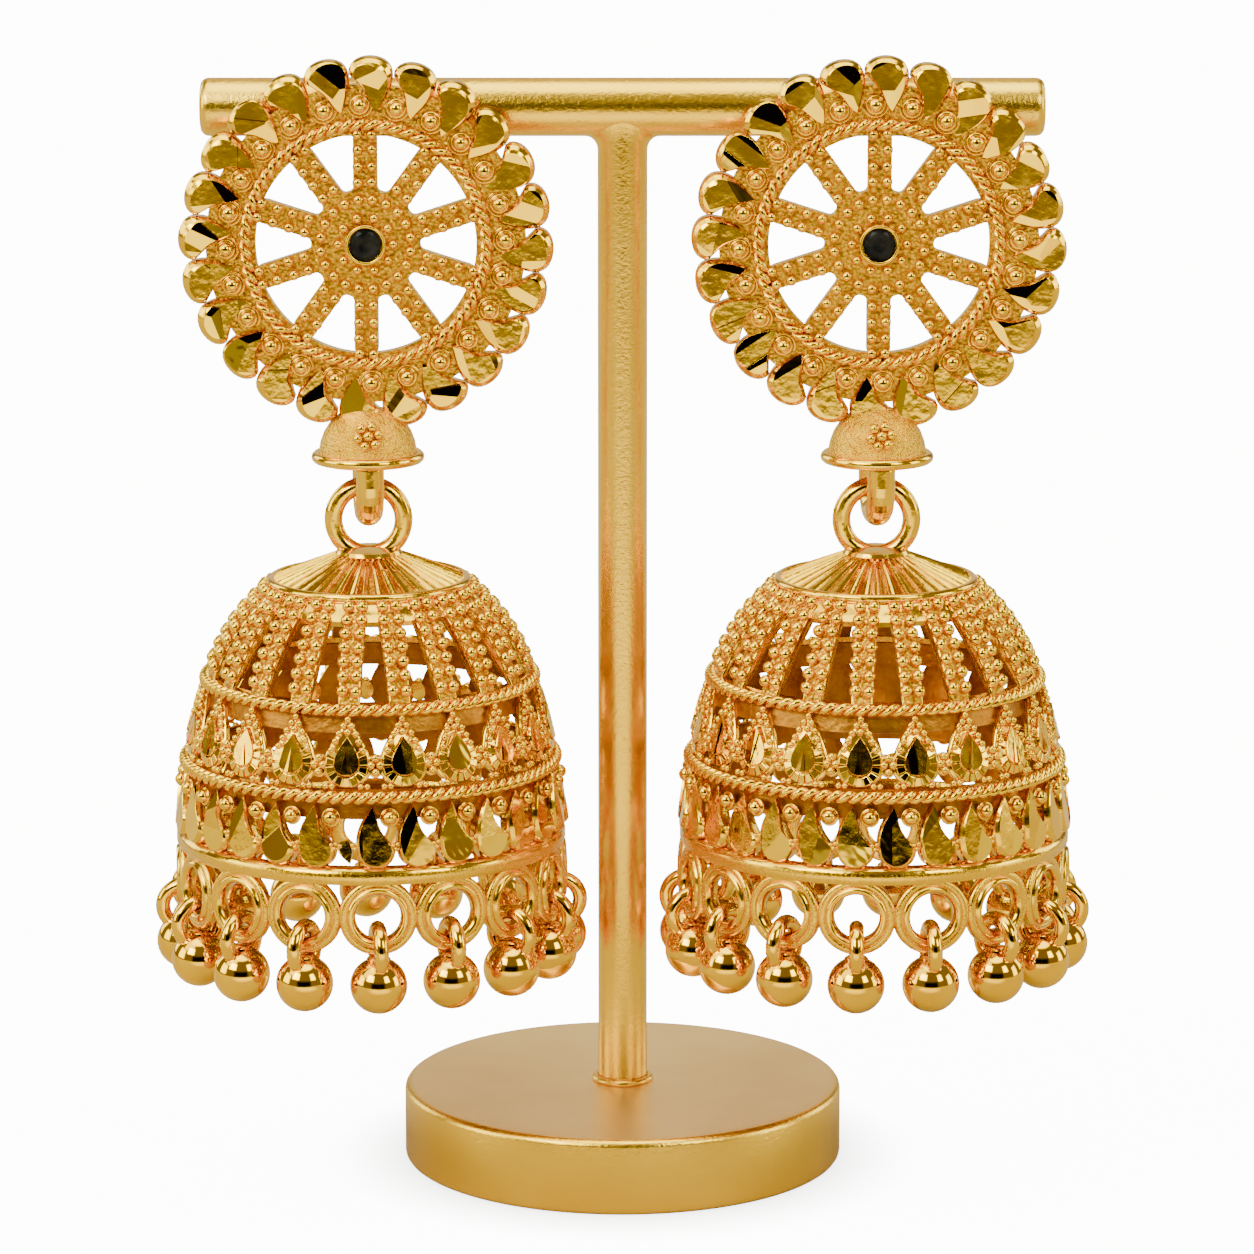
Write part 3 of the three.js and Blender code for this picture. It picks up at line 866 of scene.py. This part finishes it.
def bead_cluster():
    """The small web of beads that joins two plaques."""
    bm = bmesh.new()
    bmesh.ops.create_circle(bm, cap_ends=True, radius=0.62, segments=16)
    bmesh.ops.scale(bm, vec=(1, 1.35, 1), verts=bm.verts)
    top = new_verts(bmesh.ops.extrude_face_region(bm, geom=bm.faces[:]))
    bmesh.ops.translate(bm, vec=(0, 0, 0.4), verts=top)
    bmesh.ops.translate(bm, vec=(0, 0, -0.3), verts=bm.verts)
    bmesh.ops.recalc_face_normals(bm, faces=bm.faces)
    paint(bm.faces, "polished")
    soften(bm, 0.08)
    drop = as_part(bead(0.3))
    for x, y in ((0, 0.55), (-0.32, 0.05), (0.32, 0.05), (0, -0.45)):
        stamp(bm, drop, moved(x, y, 0.2))
    return bm


def plaque_row(side):
    piece = bmesh.new()
    joint = as_part(bead_cluster())
    grain = as_part(bead(0.24))
    for number in range(RIBS):
        angle = STARTS[side]["rib"] + 360 / RIBS * number
        stamp_once(piece, plaque(), on_wall(angle, *PLAQUE_SEAT, PLAQUE_LEAN))
        between = on_wall(angle + 180 / RIBS, *PLAQUE_SEAT, PLAQUE_LEAN)
        stamp(piece, joint, between @ moved(0, -0.75, 0))
        for aside in (-6.4, -4.4, 4.4, 6.4):
            stamp(piece, grain, on_wall(angle + aside, 13.05, 31.25, PLAQUE_LEAN) @ moved(0, 0, 0.05))
    stamp_once(piece, turned([(12.6, 30.95), (13.1, 30.85), (13.25, 30.15), (12.7, 30.0)], 128))
    # A dark red-brown band under the lower rope: painted shade behind the paisleys' tails.
    stamp_once(piece, turned([(12.3, 30.7), (12.65, 30.7), (12.9, 28.9), (12.6, 28.8)], 128, "inner"))
    stamp_once(piece, twisted_ring(LOWER_ROPE[0], 0.26, 48, 12, 8), moved(0, 0, LOWER_ROPE[1]))
    finished_on_bell(piece, side, "plaques", [f"{side}_bell"])


def paisley():
    """A paisley with its head down and its tail swept left. The row sets a ball in the crook of its neck.
    """
    cuts = [
        ((0, 0.2, 1.0), chance.uniform(0, 5), chance.uniform(0, 360)),
        ((0, -0.9, 0.99), chance.uniform(3, 8), chance.uniform(110, 250)),
    ]
    pad = cut_pad(1.36, 2.25, 1.15, cuts, 0.05, sway=0.18, hook=0.25, bite=0.5, taper=0.6, crown=0.7)
    # The paisley's back takes the dark inner finish as painted shade.
    shade_back_faces(pad)
    bm = bmesh.new()
    stamp_once(bm, pad, moved(0, 0, -0.55) @ turned_by(180))
    return bm


def paisley_row(side):
    piece = bmesh.new()
    ball = as_part(seated_ball(0.5, 0.56, 0.13))
    web = bmesh.new()
    bmesh.ops.create_cube(web, size=1)
    bmesh.ops.scale(web, vec=(1.0, 0.5, 0.4), verts=web.verts)
    paint(web.faces, "polished")
    soften(web, 0.12, segments=3)
    grain = as_part(bead(0.18))
    for x, y in ((-0.3, 0.12), (0.02, 0.2), (0.3, 0.05), (-0.1, -0.14)):
        stamp(web, grain, moved(x, y, 0.2))
    web = as_part(web)
    step = (360 - PAISLEY_GAP) / (PAISLEYS - 1)
    for number in range(PAISLEYS):
        angle = STARTS[side]["gap"] + PAISLEY_GAP + step * number
        place = on_wall(angle, *PAISLEY_SEAT, PAISLEY_LEAN)
        stamp_once(piece, paisley(), place)
        stamp(piece, ball, place @ moved(0.95, 1.35, 0.0))
        if number < PAISLEYS - 1:
            stamp(piece, web, on_wall(angle + step / 2, *PAISLEY_SEAT, PAISLEY_LEAN) @ moved(0, -0.75, 0))
    filler = on_wall(STARTS[side]["gap"] + PAISLEY_GAP / 2, *PAISLEY_SEAT, PAISLEY_LEAN)
    for aside in (-1, 1):
        stamp(piece, web, filler @ moved(aside * 0.75, -0.7, 0))
    leaf = cut_pad(0.5, 0.85, 0.6, [((0, 0, 0.5), 12, 90), ((0, 0, 0.5), 12, -90)], 0.06)
    stamp_once(piece, leaf, filler @ moved(0, -1.1, -0.2) @ turned_by(20))
    rows = [(13.0, 24.4), (13.85, 24.35), (13.98, 24.6), (13.98, 25.15), (13.75, 25.5)]
    rows += [(13.3, 25.65), (13.0, 25.2)]
    band = turned(rows, 160)
    paint([face for face in band.faces if face.calc_center_median().xy.length > 13.9], "brushed")
    stamp_once(piece, band)
    stroke_round(piece, 6)
    finished_on_bell(piece, side, "paisleys", [f"{side}_bell"])


def stroke_round(bm, turns):
    """Lays the brushing map over a part: U counts turns round Z, and V the distance out and up."""
    layer = bm.loops.layers.uv.get("brushing") or bm.loops.layers.uv.new("brushing")
    for face in bm.faces:
        middle = face.calc_center_median()
        facing = math.atan2(middle.y, middle.x)
        for loop in face.loops:
            angle = math.atan2(loop.vert.co.y, loop.vert.co.x)
            off = (angle - facing + math.pi) % FULL_TURN - math.pi
            reach = loop.vert.co.xy.length + loop.vert.co.z
            loop[layer].uv = ((facing + off) / FULL_TURN * turns, reach)


def rim_ring():
    """A ring with a brushed flat border and a polished bead round its hole."""
    rows = [(1.75, -0.5), (2.6, -0.5), (2.75, -0.35), (2.75, 0.08), (2.66, 0.24), (2.5, 0.32), (2.3, 0.32)]
    rows += [(2.22, 0.26), (2.16, 0.4), (2.04, 0.52), (1.9, 0.54), (1.74, 0.42), (1.62, 0.18), (1.58, -0.3)]
    ring = turned(rows, 56)
    level = [face for face in ring.faces if face.normal.z > 0.3]
    paint([face for face in level if face.calc_center_median().xy.length > 2.22], "brushed")
    stroke_round(ring, 1)
    return ring


def rim(side):
    piece = bmesh.new()
    piece.loops.layers.uv.new("brushing")
    one = as_part(rim_ring())
    balls = bmesh.new()
    hanging = as_part(drop())
    for number in range(RIM_RINGS):
        angle = STARTS[side]["ring"] + 360 / RIM_RINGS * number
        stamp(piece, one, on_wall(angle, *RIM_RING_SEAT))
        turn = turned_by(chance.uniform(-7, 7), "Y")
        stamp(balls, hanging, on_wall(angle, RIM_RING_SEAT[0], 0) @ turn)
    finished_on_bell(piece, side, "rim_rings", [f"{side}_bell"])
    nodes = [f"{side}_drop_{number:02d}" for number in range(1, RIM_RINGS + 1)]
    finished_on_bell(balls, side, "balls", nodes)


def drop():
    """A ball and the link soldered into its top, in the frame of a rim ring: Y up, Z outwards."""
    bm = bmesh.new()
    link = round_wire(LINK_RADIUS, LINK_WIRE, 36, 14, "mirror")
    stamp_once(bm, link, moved(0, LINK_Z) @ turned_by(90, "Y"))
    stamp_once(bm, bead(BALL_RADIUS, 4, "mirror"), moved(0, BALL_Z))
    rows = [(0, 1.9), (0.8, 1.84), (0.85, 1.95), (0.7, 2.08), (0.5, 2.12), (0, 2.12)]
    collar = turned(rows, 32, "mirror", closed=False)
    stamp_once(bm, collar, moved(0, BALL_Z) @ turned_by(-90, "X"))
    return bm


stand_base()
stand_tee()
for earring in ("left", "right"):
    stud(earring)
    bell_crown(earring)
    plaque_row(earring)
    paisley_row(earring)
    rim(earring)


# Stage

# The photo's view: lens in millimetres, aim and distance in metres, and degrees above level
CAMERA_LENS, CAMERA_TARGET, CAMERA_AWAY, CAMERA_ABOVE = 171.39, (0.00032, 0, 0.0393), 0.43, 11.9
WHITE = 14.0  # the strength at which a plain surface shows white


def studio():
    """A dim warm room for the gold to mirror, with soft boxes round it, a light overhead, and a dark patch
    behind the camera's place. The camera itself sees the room white."""
    world = bpy.data.worlds.new("studio")
    bpy.context.scene.world = world
    world.use_nodes = True
    tree = world.node_tree
    shader = tree.nodes["Background"]
    way = tree.nodes.new("ShaderNodeTexCoord").outputs["Generated"]
    split = tree.nodes.new("ShaderNodeSeparateXYZ")
    tree.links.new(way, split.inputs[0])

    def sum_of(kind, first, second=None):
        step = tree.nodes.new("ShaderNodeMath")
        step.operation = kind
        for socket, value in zip(step.inputs, (first, second)):
            if isinstance(value, bpy.types.NodeSocket):
                tree.links.new(value, socket)
            elif value is not None:
                socket.default_value = value
        return step.outputs[0]

    def ramp(value, start, end, low, high):
        step = tree.nodes.new("ShaderNodeMapRange")
        step.interpolation_type = "SMOOTHSTEP"
        tree.links.new(value, step.inputs["Value"])
        for name, number in (("From Min", start), ("From Max", end), ("To Min", low), ("To Max", high)):
            step.inputs[name].default_value = number
        return step.outputs["Result"]

    x, y, z = split.outputs
    turn = sum_of("ARCTAN2", x, sum_of("MULTIPLY", y, -1.0))
    near = ramp(sum_of("ABSOLUTE", turn), 0.38, 0.6, 1, 0)
    level = sum_of("MULTIPLY", ramp(z, -0.06, 0.03, 0, 1), ramp(z, 0.25, 0.45, 1, 0))
    dark = sum_of("MULTIPLY", near, level)
    light = sum_of("ADD", ramp(z, 0.86, 0.93, 0.25, 5.0), ramp(sum_of("ABSOLUTE", turn), 2.7, 2.9, 0, 0.7))
    # Each box: from and to round the room, in radians from the camera's side, from and to upwards, strength
    boxes = (
        (-1.6, -1.2, 0.1, 0.5, 5.0),
        (-0.9, -0.45, 0.45, 0.72, 10.0),
        (0.6, 0.85, 0.4, 0.68, 8.0),
        (1.35, 1.6, 0.05, 0.45, 5.0),
        (2.1, 2.35, 0.1, 0.5, 4.0),
        (-2.45, -2.2, 0.1, 0.5, 4.0),
    )
    for first, last, low, high, strength in boxes:
        begins = ramp(turn, first - 0.12, first, 0, 1)
        wide = sum_of("MULTIPLY", begins, ramp(turn, last, last + 0.12, 1, 0))
        tall = sum_of("MULTIPLY", ramp(z, low - 0.06, low, 0, 1), ramp(z, high, high + 0.06, 1, 0))
        light = sum_of("ADD", light, sum_of("MULTIPLY", sum_of("MULTIPLY", wide, tall), strength))
    light = sum_of("MULTIPLY", light, sum_of("SUBTRACT", 1.0, sum_of("MULTIPLY", dark, 0.99)))
    seen = tree.nodes.new("ShaderNodeLightPath").outputs["Is Camera Ray"]
    mixed = tree.nodes.new("ShaderNodeMix")
    mixed.data_type = "FLOAT"
    tree.links.new(seen, mixed.inputs["Factor"])
    tree.links.new(light, mixed.inputs["A"])
    mixed.inputs["B"].default_value = WHITE
    tree.links.new(mixed.outputs["Result"], shader.inputs["Strength"])
    warm = tree.nodes.new("ShaderNodeValToRGB")
    warm.color_ramp.elements[0].color = (1, 0.82, 0.5, 1)
    warm.color_ramp.elements[1].color = (1, 1.08, 0.9, 1)
    tree.links.new(ramp(light, 0.4, 3.0, 0, 1), warm.inputs["Fac"])
    shown = tree.nodes.new("ShaderNodeMix")
    shown.data_type = "RGBA"
    tree.links.new(seen, shown.inputs["Factor"])
    tree.links.new(warm.outputs["Color"], shown.inputs[6])
    shown.inputs[7].default_value = (1, 1, 1, 1)
    tree.links.new(shown.outputs[2], shader.inputs["Color"])


def pale_floor():
    """A sheet that shows white to the camera, with a painted soft shadow round the base. The gold mirrors
    it tan, with a glowing strip of painted light in front of the stand and a dark card beyond the strip."""
    material = finish("pale_floor", (0.8, 0.8, 0.8), 0.7, metallic=0)
    where = node(material, "ShaderNodeTexCoord").outputs["Object"]
    split = node(material, "ShaderNodeSeparateXYZ", {"Vector": where})
    towards = combined(material, "MULTIPLY", split.outputs["Y"], -1.0)
    turn = combined(material, "ARCTAN2", split.outputs["X"], towards)
    aside = node(material, "ShaderNodeMath", {0: turn}, operation="ABSOLUTE").outputs[0]
    across = spread(material, aside, 1, 0, 0.4, 0.75)
    away = spread(material, towards, 0, 1, 0.3, 0.38)
    card = combined(material, "MULTIPLY", across, away)
    seen = node(material, "ShaderNodeLightPath").outputs["Is Camera Ray"]
    reach = node(material, "ShaderNodeVectorMath", {0: where}, operation="LENGTH").outputs["Value"]
    lit = spread(material, reach, 2.8, WHITE - 1, 0.0145, 0.022)
    shown = combined(material, "MULTIPLY", seen, lit)
    # A glowing strip in front of the stand: painted light for the gold to mirror.
    begins = spread(material, towards, 0, 1.5, 0.05, 0.08)
    ends = spread(material, towards, 1, 0, 0.28, 0.33)
    strip = combined(material, "MULTIPLY", combined(material, "MULTIPLY", begins, ends), across)
    glow = combined(material, "ADD", shown, strip)
    material.node_tree.nodes["Principled BSDF"].inputs["Emission Color"].default_value = (1, 1, 1, 1)
    shade = blend_colors(material, card, (0.44, 0.37, 0.27), (0.08, 0.06, 0.04), 0.0, 1.0)
    return use(material, Base_Color=shade, Emission_Strength=glow)


def stage():
    studio()
    sheet = bmesh.new()
    bmesh.ops.create_grid(sheet, x_segments=1, y_segments=1, size=3.0)
    mesh = bpy.data.meshes.new("floor")
    sheet.to_mesh(mesh)
    sheet.free()
    mesh.materials.append(pale_floor())
    floor = bpy.data.objects.new("floor", mesh)
    bpy.context.scene.collection.objects.link(floor)
    box = bpy.data.lights.new("softbox", "AREA")
    box.shape = "RECTANGLE"
    box.size, box.size_y, box.energy = 0.5, 0.4, 2.0
    softbox = bpy.data.objects.new("softbox", box)
    softbox.location = (-0.45, -0.25, 0.6)
    softbox.rotation_euler = (Vector((0, 0, 0.04)) - softbox.location).to_track_quat("-Z", "Y").to_euler()
    bpy.context.scene.collection.objects.link(softbox)
    lens = bpy.data.cameras.new("camera")
    lens.lens, lens.sensor_width, lens.clip_start = CAMERA_LENS, 36, 0.01
    camera = bpy.data.objects.new("camera", lens)
    target, above = Vector(CAMERA_TARGET), math.radians(CAMERA_ABOVE)
    camera.location = target + CAMERA_AWAY * Vector((0, -math.cos(above), math.sin(above)))
    camera.rotation_euler = (target - camera.location).to_track_quat("-Z", "Y").to_euler()
    bpy.context.scene.collection.objects.link(camera)
    bpy.context.scene.camera = camera


stage()
